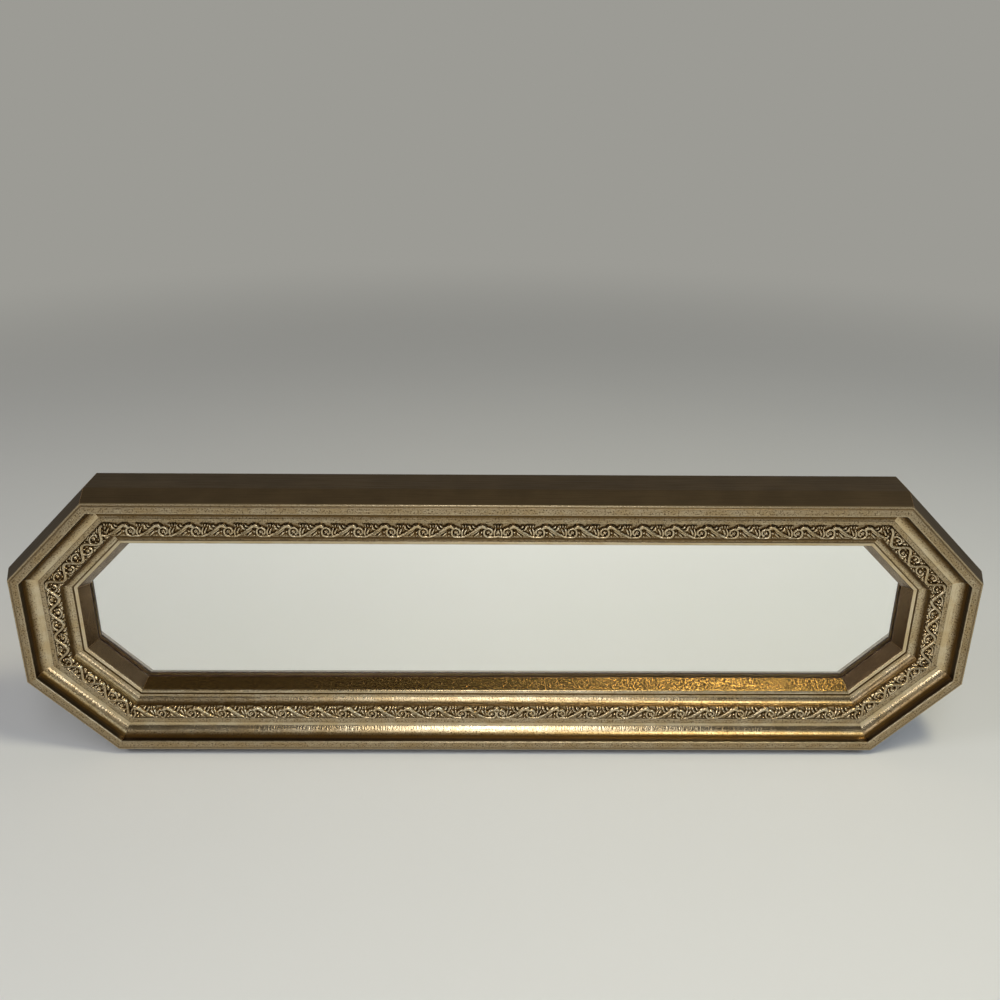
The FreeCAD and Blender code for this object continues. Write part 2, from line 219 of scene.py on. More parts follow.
def between(tree, value, low, high, start=0.0, end=1.0):
    """Maps a value from the range low to high onto start to end, smoothly and clamped."""
    node = add_node(tree, "ShaderNodeMapRange", {"interpolation_type": "SMOOTHSTEP"}, Value=value)
    for name, limit in (("From Min", low), ("From Max", high), ("To Min", start), ("To Max", end)):
        node.inputs[name].default_value = limit
    return node.outputs["Result"]


def combined(tree, operation, first, second):
    """The result of a mathematical operation on two values, kept between 0 and 1."""
    node = add_node(tree, "ShaderNodeMath", {"operation": operation, "use_clamp": True})
    set_input(tree, node.inputs[0], first)
    set_input(tree, node.inputs[1], second)
    return node.outputs["Value"]


def mixed(tree, share, first, second):
    """A colour between two others."""
    node = add_node(tree, "ShaderNodeMix", {"data_type": "RGBA"})
    sockets = {socket.identifier: socket for socket in (*node.inputs, *node.outputs)}
    set_input(tree, sockets["Factor_Float"], share)
    set_input(tree, sockets["A_Color"], first)
    set_input(tree, sockets["B_Color"], second)
    return sockets["Result_Color"]


def bumped(tree, height, strength, distance, normal=None):
    node = add_node(tree, "ShaderNodeBump", Height=height, Strength=strength, Distance=distance)
    if normal:
        tree.links.new(normal, node.inputs["Normal"])
    return node.outputs["Normal"]


def finish_shader(tree, shader, **inputs):
    for name, value in inputs.items():
        set_input(tree, shader.inputs[name.replace("_", " ")], value)


def make_leaf(name, ripple_strength):
    """Aged metal leaf: streaked pale gold under a brown wash and painted shade in the recesses, near black
    where the shade is deepest, with rubbed arrises and heights that carry painted highlights.
    """
    material, tree, shader = new_material(name)
    run = attribute(tree, "run", "Vector")
    grime_and_shade = attribute(tree, "grime_and_shade")
    wear = attribute(tree, "wear")
    streaks = noise_value(tree, stretched(tree, run, (45, 1100, 60)), 1.0, detail=4.0)
    clouds = noise_value(tree, run, 60.0)
    mottle = noise_value(tree, run, 240.0, detail=4.0)
    ripple = noise_value(tree, stretched(tree, run, (640, 190, 190)), 1.0, detail=2.0)
    pepper = between(tree, noise_value(tree, run, 760.0, detail=2.0), 0.48, 0.68)
    flecks = between(tree, spots(tree, run, 170.0), 0.035, 0.075, 1.0, 0.0)

    leaf = mixed(tree, between(tree, clouds, 0.35, 0.65), colour(212, 196, 164), colour(202, 180, 140))
    leaf = mixed(tree, between(tree, streaks, 0.50, 0.75, 0.0, 0.45), leaf, colour(150, 126, 90))
    patchy = combined(tree, "MULTIPLY", combined(tree, "ADD", mottle, streaks), 0.30)
    ragged = combined(tree, "ADD", grime_and_shade, patchy)
    wash_and_shade = between(tree, ragged, 0.42, 1.02)
    deep_shade = between(tree, grime_and_shade, 0.82, 0.95)
    rubbed_and_highlight = combined(tree, "MULTIPLY", wear, between(tree, mottle, 0.30, 0.60, 0.5, 1.0))
    bole = combined(tree, "MULTIPLY", wear, between(tree, noise_value(tree, run, 120.0), 0.60, 0.68))

    # painted shade: brown wash, partly a real toning, laid most where the moulding falls into shade
    shade = mixed(tree, wash_and_shade, leaf, colour(98, 74, 36))
    peppered = combined(tree, "MULTIPLY", pepper, between(tree, grime_and_shade, 0.0, 0.5))
    shade = mixed(tree, peppered, shade, colour(84, 66, 44))
    # painted shade: near black on the rim's inner wall and in the grooves, where shade falls
    shade = mixed(tree, deep_shade, shade, colour(38, 26, 12))
    # painted highlight: pale gold on arrises and on the ornament's heights, partly real rubbing
    shade = mixed(tree, rubbed_and_highlight, shade, colour(226, 210, 178))
    shade = mixed(tree, combined(tree, "MULTIPLY", bole, 0.5), shade, colour(116, 68, 44))
    shade = mixed(tree, combined(tree, "MULTIPLY", flecks, 0.8), shade, colour(48, 36, 20))
    dull = combined(tree, "MAXIMUM", combined(tree, "SUBTRACT", wash_and_shade, rubbed_and_highlight), flecks)
    rippled = bumped(tree, ripple, ripple_strength, 0.0006)
    finish_shader(
        tree, shader,
        Base_Color=shade,
        Metallic=between(tree, combined(tree, "MAXIMUM", deep_shade, dull), 0.0, 1.0, 1.0, 0.85),
        Roughness=between(tree, combined(tree, "ADD", dull, streaks), 0.2, 1.0, 0.14, 0.32),
        Normal=bumped(tree, streaks, 0.10, 0.0004, rippled),
    )
    return material


def make_toned_leaf(name, light, dark, speckle_and_glint_shade, grain_height):
    """Leaf toned dark brown on the inner slope, with a grain that sparkles where it is high and dark specks
    where it is low, which also paint the shade between glints.
    """
    material, tree, shader = new_material(name)
    run = attribute(tree, "run", "Vector")
    wear = attribute(tree, "wear")
    clouds = noise_value(tree, run, 90.0)
    grain = noise_value(tree, stretched(tree, run, (520, 760, 520)), 1.0, detail=1.0)
    flecks = between(tree, spots(tree, run, 200.0), 0.04, 0.08, 1.0, 0.0)
    shade = mixed(tree, between(tree, clouds, 0.35, 0.65), light, dark)
    # painted shade: dark specks in the low grain, strongest on the bottom rail, stand for the dark between
    # glints as well as a speckled toning
    shade = mixed(tree, between(tree, grain, 0.42, 0.62, 0.0, speckle_and_glint_shade), shade, colour(54, 38, 18))
    # painted highlight: pale gold along the lip's edge, partly real rubbing
    shade = mixed(tree, wear, shade, colour(190, 168, 124))
    shade = mixed(tree, combined(tree, "MULTIPLY", flecks, 0.5), shade, colour(44, 30, 16))
    finish_shader(
        tree, shader,
        Base_Color=shade,
        Metallic=between(tree, flecks, 0.0, 1.0, 0.9, 0.2),
        Roughness=between(tree, clouds, 0.3, 0.7, 0.20, 0.26),
        Normal=bumped(tree, grain, 1.0, grain_height),
    )
    return material


def make_bronze():
    """Dark bronze paint on the side walls, brushed along the rail and rubbed at the arris, where the pale
    rubbed colour is also a painted highlight.
    """
    material, tree, shader = new_material("bronze_paint")
    run = attribute(tree, "run", "Vector")
    wear = attribute(tree, "wear")
    streaks = noise_value(tree, stretched(tree, run, (25, 700, 60)), 1.0, detail=4.0)
    clouds = noise_value(tree, run, 30.0)
    scuffs = between(tree, noise_value(tree, run, 260.0, detail=5.0), 0.62, 0.72)
    paint = mixed(tree, between(tree, clouds, 0.3, 0.7), colour(52, 41, 25), colour(60, 48, 31))
    paint = mixed(tree, between(tree, streaks, 0.45, 0.75, 0.0, 0.4), paint, colour(42, 32, 18))
    # painted highlight: pale colour along the arris, partly real rubbing
    paint = mixed(tree, combined(tree, "MULTIPLY", wear, 0.6), paint, colour(176, 156, 118))
    paint = mixed(tree, combined(tree, "MULTIPLY", scuffs, 0.3), paint, colour(48, 36, 24))
    finish_shader(
        tree, shader,
        Base_Color=paint,
        Specular_IOR_Level=0.2,
        Roughness=between(tree, streaks, 0.3, 0.7, 0.48, 0.62),
        Normal=bumped(tree, streaks, 0.10, 0.0004),
    )
    return material


def make_bole():
    """Red-brown undercoat on the sight edge beside the glass."""
    material, tree, shader = new_material("bole_edge")
    run = attribute(tree, "run", "Vector")
    blotches = noise_value(tree, stretched(tree, run, (80, 400, 80)), 1.0, detail=4.0)
    finish_shader(
        tree, shader,
        Base_Color=mixed(tree, between(tree, blotches, 0.35, 0.7), colour(58, 36, 26), colour(36, 21, 13)),
        Specular_IOR_Level=0.2,
        Roughness=between(tree, blotches, 0.3, 0.7, 0.55, 0.75),
        Normal=bumped(tree, blotches, 0.15, 0.0003),
    )
    return material


def make_raw_wood():
    """Bare softwood on the back and in the rabbet, with its grain along the rail and stains at the edges."""
    material, tree, shader = new_material("raw_wood")
    run = attribute(tree, "run", "Vector")
    wear = attribute(tree, "wear")
    grain = noise_value(tree, stretched(tree, run, (5, 420, 90)), 1.0, detail=6.0, roughness=0.6)
    fibre = noise_value(tree, stretched(tree, run, (60, 1800, 600)), 1.0, detail=3.0)
    stains = noise_value(tree, run, 18.0)
    wood = mixed(tree, between(tree, grain, 0.32, 0.72), colour(210, 178, 132), colour(176, 136, 90))
    wood = mixed(tree, between(tree, fibre, 0.5, 0.8, 0.0, 0.4), wood, colour(140, 104, 66))
    wood = mixed(tree, between(tree, stains, 0.58, 0.75, 0.0, 0.45), wood, colour(120, 92, 62))
    wood = mixed(tree, combined(tree, "MULTIPLY", wear, 0.45), wood, colour(82, 62, 40))
    finish_shader(
        tree, shader,
        Base_Color=wood,
        Roughness=between(tree, grain, 0.3, 0.7, 0.62, 0.8),
        Normal=bumped(tree, fibre, 0.3, 0.0004),
    )
    return material


def make_clear_glass():
    """Body of the glass, with the faintest smears on its face."""
    material, tree, shader = new_material("clear_glass")
    smears = noise_value(tree, stretched(tree, object_place(tree), (9, 9, 22)), 1.0, detail=4.0)
    finish_shader(
        tree, shader,
        Base_Color=mixed(tree, smears, colour(255, 255, 255), colour(253, 255, 253)),
        Roughness=between(tree, smears, 0.5, 0.8, 0.0, 0.03),
        IOR=1.5,
        Transmission_Weight=1.0,
    )
    return material


def make_silver():
    """Silvering on the back of the glass."""
    material, tree, shader = new_material("silvering")
    clouds = noise_value(tree, object_place(tree), 12.0, detail=4.0)
    finish_shader(
        tree, shader,
        Base_Color=mixed(tree, clouds, colour(254, 254, 252), colour(251, 252, 249)),
        Metallic=1.0,
        Roughness=between(tree, clouds, 0.5, 0.8, 0.0, 0.03),
    )
    return material


def make_board(name, light, dark, weave):
    """Pressed fibre board with flecks, and a woven print on its back where the weave is above zero."""
    material, tree, shader = new_material(name)
    place = object_place(tree)
    fibres = noise_value(tree, stretched(tree, place, (420, 420, 1400)), 1.0, detail=5.0)
    blotches = noise_value(tree, place, 22.0)
    threads = [
        add_node(
            tree, "ShaderNodeTexWave", {"bands_direction": direction},
            Vector=place, Scale=190.0, Distortion=0.6,
        ).outputs["Fac"]
        for direction in "XZ"
    ]
    cloth = combined(tree, "MULTIPLY", *threads)
    shade = mixed(tree, between(tree, fibres, 0.35, 0.7), light, dark)
    shade = mixed(tree, between(tree, blotches, 0.45, 0.75, 0.0, 0.4), shade, dark)
    fibrous = bumped(tree, fibres, 0.35, 0.0004)
    finish_shader(
        tree, shader,
        Base_Color=shade,
        Roughness=between(tree, fibres, 0.3, 0.7, 0.6, 0.82),
        Normal=bumped(tree, cloth, weave, 0.0006, fibrous),
    )
    return material


def make_steel(name, light, dark, smooth, rough):
    """Steel with drawn scratches, dull patches and a little tarnish."""
    material, tree, shader = new_material(name)
    place = object_place(tree)
    scratches = noise_value(tree, stretched(tree, place, (700, 700, 5000)), 1.0, detail=3.0)
    patches = noise_value(tree, place, 160.0, detail=4.0)
    finish_shader(
        tree, shader,
        Base_Color=mixed(tree, between(tree, patches, 0.42, 0.68), light, dark),
        Metallic=1.0,
        Roughness=between(tree, combined(tree, "MULTIPLY", patches, scratches), 0.1, 0.45, smooth, rough),
        Normal=bumped(tree, scratches, 0.06, 0.0003),
    )
    return material


def make_rubber():
    """Grey felted rubber of the wall bumpers."""
    material, tree, shader = new_material("bumper_rubber")
    place = object_place(tree)
    pores = noise_value(tree, place, 1800.0, detail=3.0)
    dust = between(tree, noise_value(tree, place, 200.0), 0.4, 0.7, 0.0, 0.6)
    finish_shader(
        tree, shader,
        Base_Color=mixed(tree, dust, colour(62, 60, 58), colour(104, 100, 94)),
        Roughness=between(tree, pores, 0.3, 0.7, 0.6, 0.85),
        Normal=bumped(tree, pores, 0.3, 0.0002),
    )
    return material


# Moulding

Corner = namedtuple(
    "Corner", "inset depth rounding finish tone soil wear arc", defaults=(0.0, 0.0, 0.0, None),
)
Arc = namedtuple("Arc", "inset depth end_tone fade_start fade_end")
ProfilePoint = namedtuple("ProfilePoint", "inset depth finish tone")
FINISHES = ("leaf", "toned", "bronze", "bole", "wood")


def moulding_corners(spread=0.0):
    """Corners of the section from the back of the side wall round.

    Each names the finish and the tone of wash and painted shade of the face after it, how dirty and shaded
    or worn and highlighted the corner is, and the centre of the arc that starts there, over which the tone
    fades between two shares of its turn.
    """
    fade_start = WASH_AND_SHADE_START + spread
    cove_end = COVE_WASH_AND_SHADE_END + COVE_SPREAD_SHARE * spread
    bead_end = BEAD_WASH_AND_SHADE_END + BEAD_SPREAD_SHARE * spread
    cove = Arc(COVE_INSET, RIM_DROP, 0.08, fade_start, cove_end)
    bead = Arc(GROOVE_INSET, CHANNEL_DEPTH, 0.30, fade_start, bead_end)
    return [
        Corner(0, FRAME_DEPTH, 1.0, "bronze"),
        Corner(0, BEVEL_DEPTH, 9.0, "bronze"),
        Corner(BEVEL_WIDTH, LEDGE_DEPTH, 0.4, "leaf", tone=0.50, wear=0.6),
        # painted shade: the grooves' soil and the high tones on the rim's inner wall and cove darken where
        # shade falls, over a real wash
        Corner(LEDGE_INSET, LEDGE_DEPTH, 0.1, "leaf", tone=0.50, soil=0.85),
        Corner(LEDGE_INSET, 0, 0.3, "leaf", tone=0.42, wear=0.3),
        Corner(RIM_INSET, 0, 0.7, "leaf", tone=1.0, wear=0.8),
        Corner(RIM_INSET, RIM_DROP, 0, "leaf", tone=0.90, arc=cove),
        Corner(COVE_INSET, COVE_DEPTH, 0.3, "leaf", tone=0.26),
        Corner(COVE_INSET, FILLET_TOP_DEPTH, 0.3, "leaf", tone=0.39),
        Corner(CHANNEL_INSET, FILLET_DEPTH, 0.3, "leaf", tone=0.80, wear=0.2),
        Corner(CHANNEL_INSET, CHANNEL_DEPTH, 0.1, "leaf", tone=0.90, soil=1.0),
        Corner(BEAD_INSET, CHANNEL_DEPTH, 0.4, "leaf", tone=0.75, arc=bead),
        Corner(GROOVE_INSET, BEAD_DEPTH, 0.3, "leaf", tone=0.80),
        Corner(GROOVE_INSET, GROOVE_DEPTH, 0.15, "leaf", tone=0.85),
        Corner(LIP_INSET, GROOVE_DEPTH, 0.15, "leaf", tone=0.80),
        Corner(LIP_INSET, LIP_DEPTH, 0.3, "leaf", tone=0.05, wear=0.6),
        Corner(SLOPE_INSET, SLOPE_DEPTH, 0.5, "toned", wear=0.2),
        Corner(SIGHT_INSET, SIGHT_DEPTH, 0.4, "bole"),
        Corner(SIGHT_INSET, GLASS_DEPTH, 0.1, "wood"),
        Corner(RABBET_INSET, GLASS_DEPTH, 0.2, "wood"),
        Corner(RABBET_INSET, FRAME_DEPTH, 0.5, "wood"),
    ]


def arc_corners(start, end):
    """Plain corners along the arc between two others, without its ends."""
    centre = start.arc
    from_angle = math.atan2(start.depth - centre.depth, start.inset - centre.inset)
    to_angle = math.atan2(end.depth - centre.depth, end.inset - centre.inset)
    turn = (to_angle - from_angle + math.pi) % (2 * math.pi) - math.pi
    radius = math.hypot(start.inset - centre.inset, start.depth - centre.depth)
    count = max(2, round(abs(turn) * radius / ARC_STEP))
    corners = []
    for number in range(1, count):
        share = number / count
        angle = from_angle + turn * share
        inset = centre.inset + radius * math.cos(angle)
        depth = centre.depth + radius * math.sin(angle)
        tone = np.interp(share, (centre.fade_start, centre.fade_end), (start.tone, centre.end_tone))
        corners.append(Corner(inset, depth, 0, start.finish, tone))
    return corners


def moulding_outline(spread):
    """The section with its arcs drawn, as corners that are rounded or only passed through."""
    corners = moulding_corners(spread)
    outline = []
    for corner, following in zip(corners, corners[1:] + corners[:1]):
        outline.append(corner)
        if corner.arc:
            outline += arc_corners(corner, following)
    return outline


def rounded_corner(before, corner, after):
    """Points that round a corner off, held to less than half of the faces beside it."""
    place = Vector((corner.inset, corner.depth))
    to_before = Vector((before.inset, before.depth)) - place
    to_after = Vector((after.inset, after.depth)) - place
    reach = corner.rounding / math.tan(to_before.angle(to_after) / 2)
    reach = min(reach, ROUNDING_SHARE * to_before.length, ROUNDING_SHARE * to_after.length)
    start = place + to_before.normalized() * reach
    end = place + to_after.normalized() * reach
    points = []
    for number in range(ROUND_SEGMENTS + 1):
        share = number / ROUND_SEGMENTS
        point = start * (1 - share) ** 2 + place * 2 * share * (1 - share) + end * share ** 2
        face = corner if number >= ROUND_SEGMENTS // 2 else before
        points.append(ProfilePoint(point.x, point.y, face.finish, face.tone))
    return points


def moulding_profile(spread):
    """The section as closely spaced points, with rounded arrises and no face longer than one step."""
    outline = moulding_outline(spread)
    points = []
    for number, corner in enumerate(outline):
        if corner.rounding:
            points += rounded_corner(outline[number - 1], corner, outline[(number + 1) % len(outline)])
        else:
            points.append(ProfilePoint(corner.inset, corner.depth, corner.finish, corner.tone))
    profile = []
    for point, following in zip(points, points[1:] + points[:1]):
        length = math.hypot(following.inset - point.inset, following.depth - point.depth)
        count = max(1, math.ceil(length / ACROSS_STEP))
        for number in range(count):
            share = number / count
            inset = point.inset + (following.inset - point.inset) * share
            depth = point.depth + (following.depth - point.depth) * share
            profile.append(ProfilePoint(inset, depth, point.finish, point.tone))
    return profile


def corner_marks(profile):
    """Wear with painted highlight, and grime with painted shade, of each point, from its face's wash and
    painted shade and from the corners near it.
    """
    places = np.array([(point.inset, point.depth) for point in profile])
    wear = np.zeros(len(profile))
    grime_and_shade = np.array([point.tone for point in profile])
    for corner in moulding_corners():
        distance = np.hypot(places[:, 0] - corner.inset, places[:, 1] - corner.depth)
        wear = np.maximum(wear, corner.wear * np.exp(-(distance / WEAR_AND_HIGHLIGHT_REACH) ** 2))
        grime_and_shade = np.maximum(grime_and_shade, corner.soil * np.exp(-(distance / GRIME_AND_SHADE_REACH) ** 2))
    return wear, grime_and_shade


Rail = namedtuple("Rail", "name number turn middle run")


def find_rails():
    """Each rail's turn about Y, the middle of its outer side and its run in millimetres."""
    low = (HEIGHT - SHORT_RUN) / 2
    right = [(LONG_RUN / 2, 0), (HALF_WIDTH, low), (HALF_WIDTH, HEIGHT - low), (LONG_RUN / 2, HEIGHT)]
    corners = [Vector((x, 0, z)) for x, z in right] + [Vector((-x, 0, z)) for x, z in reversed(right)]
    rails = []
    for number, name in enumerate(RAIL_NAMES):
        middle = (corners[-number] + corners[-number - 1]) / 2
        run = (LONG_RUN if name in LONG_FLOWS else SHORT_RUN) / MM
        rails.append(Rail(name, number, number * SIDE_TURN, middle, run))
    return rails


def half_run(rail, inset):
    """Half the length of a rail between its mitres at an inset."""
    return rail.run / 2 - inset * MITRE_SHARE


def on_rail(rail, along, depth, inset):
    """Takes places along a rail, back from its rim and in from its side wall to the frame."""
    move = Matrix.Translation(rail.middle + Vector((0, FRONT, 0)))
    matrix = np.array(move @ Matrix.Rotation(rail.turn, 4, "Y") @ Matrix.Scale(MM, 4))
    places = np.stack(np.broadcast_arrays(along, depth, inset), axis=-1).reshape(-1, 3)
    return places @ matrix[:3, :3].T + matrix[:3, 3]


def add_mesh(name, points, faces, flat_faces, node):
    """A closed mesh piece that stands for a node of the model, the last of its faces flat."""
    mesh = bpy.data.meshes.new(name)
    mesh.from_pydata(points.tolist(), [], faces)
    solid = bmesh.new()
    solid.from_mesh(mesh)
    bmesh.ops.recalc_face_normals(solid, faces=solid.faces)
    for face in list(solid.faces)[-flat_faces:]:
        for edge in face.edges:
            edge.smooth = False
    solid.to_mesh(mesh)
    solid.free()
    mesh.polygons.foreach_set("use_smooth", [True] * (len(faces) - flat_faces) + [False] * flat_faces)
    piece = bpy.data.objects.new(name, mesh)
    bpy.context.scene.collection.objects.link(piece)
    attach(piece, "frame")
    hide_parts(node)
    return piece


def add_values(piece, name, values, kind="FLOAT"):
    """Stores one value or vector for each vertex under a name that the materials read."""
    layer = piece.data.attributes.new(name, kind, "POINT")
    layer.data.foreach_set("vector" if kind == "FLOAT_VECTOR" else "value", np.ravel(values))


def run_places(rail, along, across):
    """Places on a rail's developed surface in metres, which no two rails share."""
    return np.stack([along * MM + rail.number, across * MM, np.zeros_like(along)], axis=-1)


def build_rail(rail, materials):
    """One length of moulding, mitred at both ends."""
    profile = moulding_profile(WASH_AND_SHADE_SPREAD.get(rail.name, 0.0))
    wear, grime_and_shade = corner_marks(profile)
    columns = max(2, round(rail.run / ALONG_STEP)) + 1
    across = len(profile)
    insets = np.array([point.inset for point in profile])
    depths = np.array([point.depth for point in profile])
    developed = np.cumsum(np.hypot(np.diff(insets, prepend=insets[-1]), np.diff(depths, prepend=depths[-1])))
    along = np.linspace(-1, 1, columns)[:, None] * (half_run(rail, insets) - MITRE_GAP)
    faces = []
    finishes = []
    for column in range(columns - 1):
        for number in range(across):
            near, far = column * across, (column + 1) * across
            following = (number + 1) % across
            faces.append((near + number, near + following, far + following, far + number))
            finishes.append(FINISHES.index(profile[number].finish))
    faces.append(tuple(range(across)))
    faces.append(tuple((columns - 1) * across + number for number in range(across)))
    finishes += [FINISHES.index("wood")] * 2
    points = on_rail(rail, along, depths, insets)
    piece = add_mesh(f"{rail.name}_moulding", points, faces, 2, f"{rail.name}_rail")
    for finish in FINISHES:
        piece.data.materials.append(materials[finish])
    piece.data.polygons.foreach_set("material_index", finishes)
    add_values(piece, "wear", np.tile(wear, columns))
    add_values(piece, "grime_and_shade", np.tile(grime_and_shade, columns))
    add_values(piece, "run", run_places(rail, along, np.tile(developed, (columns, 1))), "FLOAT_VECTOR")


def build_glass(rails, clear, silver):
    """The octagonal glass in the rabbet, clear at its face and edges and silvered at its back."""
    count = len(rails)
    points = np.concatenate([
        on_rail(rail, half_run(rail, GLASS_INSET), depth, GLASS_INSET)
        for depth in (GLASS_DEPTH + GLASS_SHY, GLASS_DEPTH + GLASS_THICKNESS - GLASS_SHY) for rail in rails
    ])
    faces = [tuple(range(count)), tuple(range(count, 2 * count))]
    for number in range(count):
        following = (number + 1) % count
        faces.append((number, following, count + following, count + number))
    piece = add_mesh("mirror_plate", points, faces, len(faces), "mirror_glass")
    piece.data.materials.append(clear)
    piece.data.materials.append(silver)
    piece.data.polygons.foreach_set("material_index", [0, 1] + [0] * count)


# Ornament

Stroke = namedtuple("Stroke", "points widths heights")


def smooth_path(points, count=44):
    """Points along a smooth curve through a few chosen ones."""
    nodes = np.array([points[0], *points, points[-1]], float)
    path = []
    for place in np.linspace(0, len(points) - 1, count):
        first = min(int(place), len(points) - 2)
        share = place - first
        a, b, c, d = nodes[first:first + 4]
        path.append(0.5 * (2 * b + (c - a) * share + (2 * a - 5 * b + 4 * c - d) * share ** 2
                           + (3 * b - a - 3 * c + d) * share ** 3))
    return np.array(path)


class Tile:
    """One repeat of the ornament as a field of heights, closed on itself lengthways."""

    def __init__(self, period):
        self.period = period
        self.along = np.arange(0, period, TILE_STEP)
        self.across = np.arange(0, STRIP_WIDTH + TILE_STEP, TILE_STEP)
        self.field = np.zeros((len(self.along), len(self.across)))

    def caps(self, stroke):
        """Round caps along a stroke, each with its own radius and height."""
        path = smooth_path(stroke.points)
        shares = np.linspace(0, 1, len(path))
        widths = np.interp(shares, np.linspace(0, 1, len(stroke.widths)), stroke.widths)
        heights = np.interp(shares, np.linspace(0, 1, len(stroke.heights)), stroke.heights)
        for (x, y), width, height in zip(path, widths, heights):
            apart = (self.along - x + self.period / 2) % self.period - self.period / 2
            square = (apart[:, None] ** 2 + (self.across[None, :] - y) ** 2) / width ** 2
            yield height * np.sqrt(np.clip(1 - square, 0, None))

    def raise_stroke(self, points, widths, heights):
        for cap in self.caps(Stroke(points, widths, heights)):
            self.field = np.maximum(self.field, cap)

    def cut_stroke(self, points, widths, depths):
        """Scores a vein into what is already raised."""
        cut = np.zeros_like(self.field)
        for cap in self.caps(Stroke(points, widths, depths)):
            cut = np.maximum(cut, cap)
        self.field = np.clip(self.field - cut, 0, None)

    def raise_stem(self, points, width, height):
        """A stem of two ridges with a groove between them."""
        self.raise_stroke(points, (width,), (height,))
        self.cut_stroke(points, (0.38 * width,), (0.30 * height,))

    def raise_leaf(self, points, width, height):
        """A pointed blade with a vein down its middle."""
        widths = (0.5 * width, width, 0.8 * width, 0.3)
        heights = (0.8 * height, height, 0.75 * height)
        self.raise_stroke(points, widths, heights)
        self.cut_stroke(points, (0.25 * width, 0.18 * width), (0.22 * height, 0.15 * height))

    def raise_berry(self, place, radius, height):
        self.raise_stroke([place, place], (radius,), (height,))

    def raise_flower(self, centre, radius, petals, height):
        """A berry in a ring of round petals."""
        for number in range(petals):
            angle = 2 * math.pi * (number + 0.25) / petals
            place = (centre[0] + radius * math.cos(angle), centre[1] + radius * math.sin(angle))
            self.raise_berry(place, 0.62 * radius, 0.8 * height)
        self.raise_berry(centre, 0.55 * radius, height)

    def hollows(self):
        """How far each place lies below the mean of its surroundings."""
        mean = np.pad(self.field, ((0, 0), (HOLLOW_REACH, HOLLOW_REACH)), mode="edge")
        shifts = range(-HOLLOW_REACH, HOLLOW_REACH + 1)
        for axis in (0, 1):
            mean = sum(np.roll(mean, shift, axis) for shift in shifts) / len(shifts)
        return mean[:, HOLLOW_REACH:-HOLLOW_REACH] - self.field

    def sampled(self, field, along, across):
        """Values of a field at places along and across, interpolated between its points."""
        x = np.mod(along, self.period) / TILE_STEP
        y = np.clip(across / TILE_STEP, 0, len(self.across) - 1.001)
        low_x, low_y = np.floor(x).astype(int), np.floor(y).astype(int)
        share_x, share_y = x - low_x, y - low_y
        low_x, high_x = low_x % len(self.along), (low_x + 1) % len(self.along)
        low = field[low_x, low_y] * (1 - share_x) + field[high_x, low_y] * share_x
        high = field[low_x, low_y + 1] * (1 - share_x) + field[high_x, low_y + 1] * share_x
        return low * (1 - share_y) + high * share_y


def make_long_tile():
    """Leaf scroll of the long rails: a stem curls round a flower under a crest that falls to the next."""
    tile = Tile(LONG_PERIOD)
    tile.raise_leaf([(2.6, 1.8), (2.8, 5.2), (1.6, 8.2)], 1.1, 2.5)
    tile.raise_leaf([(1.0, 3.0), (0.4, 5.4), (-1.2, 7.8)], 1.0, 2.3)
    tile.raise_leaf([(17.4, 8.8), (18.8, 9.6), (19.4, 11.2)], 1.0, 2.4)
    tile.raise_leaf([(19.6, 6.8), (21.2, 8.0), (21.8, 10.4)], 1.1, 2.5)
    tile.raise_leaf([(14.4, 7.0), (17.6, 4.6), (20.8, 1.9)], 0.9, 2.4)
    tile.raise_leaf([(14.6, 4.2), (16.6, 2.6), (18.4, 0.8)], 0.9, 2.3)
    for tooth in (-2.2, 0.0, 2.2):
        tile.raise_stroke([(tooth, 11.3), (0.8 * tooth, 9.2)], (0.95, 0.5), (3.0, 2.2))
    tile.raise_berry((12.6, 5.2), 1.0, 3.1)
    tile.raise_berry((12.8, 2.0), 0.9, 2.6)
    tile.raise_flower((7.4, 5.0), 1.1, 5, 3.0)
    curl = [(8.6, 1.2), (10.6, 3.6), (10.2, 6.8), (7.4, 8.4), (4.8, 7.0), (4.4, 4.4), (6.0, 2.9)]
    tile.raise_stem([(1.4, 1.1), (5.0, 0.8), *curl], 1.0, 2.6)
    crest = [(9.2, 8.4), (11.2, 10.0), (13.4, 9.7), (17.2, 6.8), (21.6, 3.4), (26.6, 1.0)]
    tile.raise_stroke(crest, (1.2, 2.0, 1.7, 1.4, 1.2, 0.7), (2.9, RELIEF_HEIGHT, 3.2, 2.8, 2.5, 2.0))
    tile.cut_stroke(crest[3:], (0.2, 0.32, 0.2), (0.4, 0.9, 0.5))
    return tile


def bay_place(number, hand, share, side):
    """A place in a bay of the vine: a share of its length, and a distance to the hand of its scroll."""
    return (number + share) * SHORT_PERIOD / 2, STRIP_WIDTH / 2 - hand * side


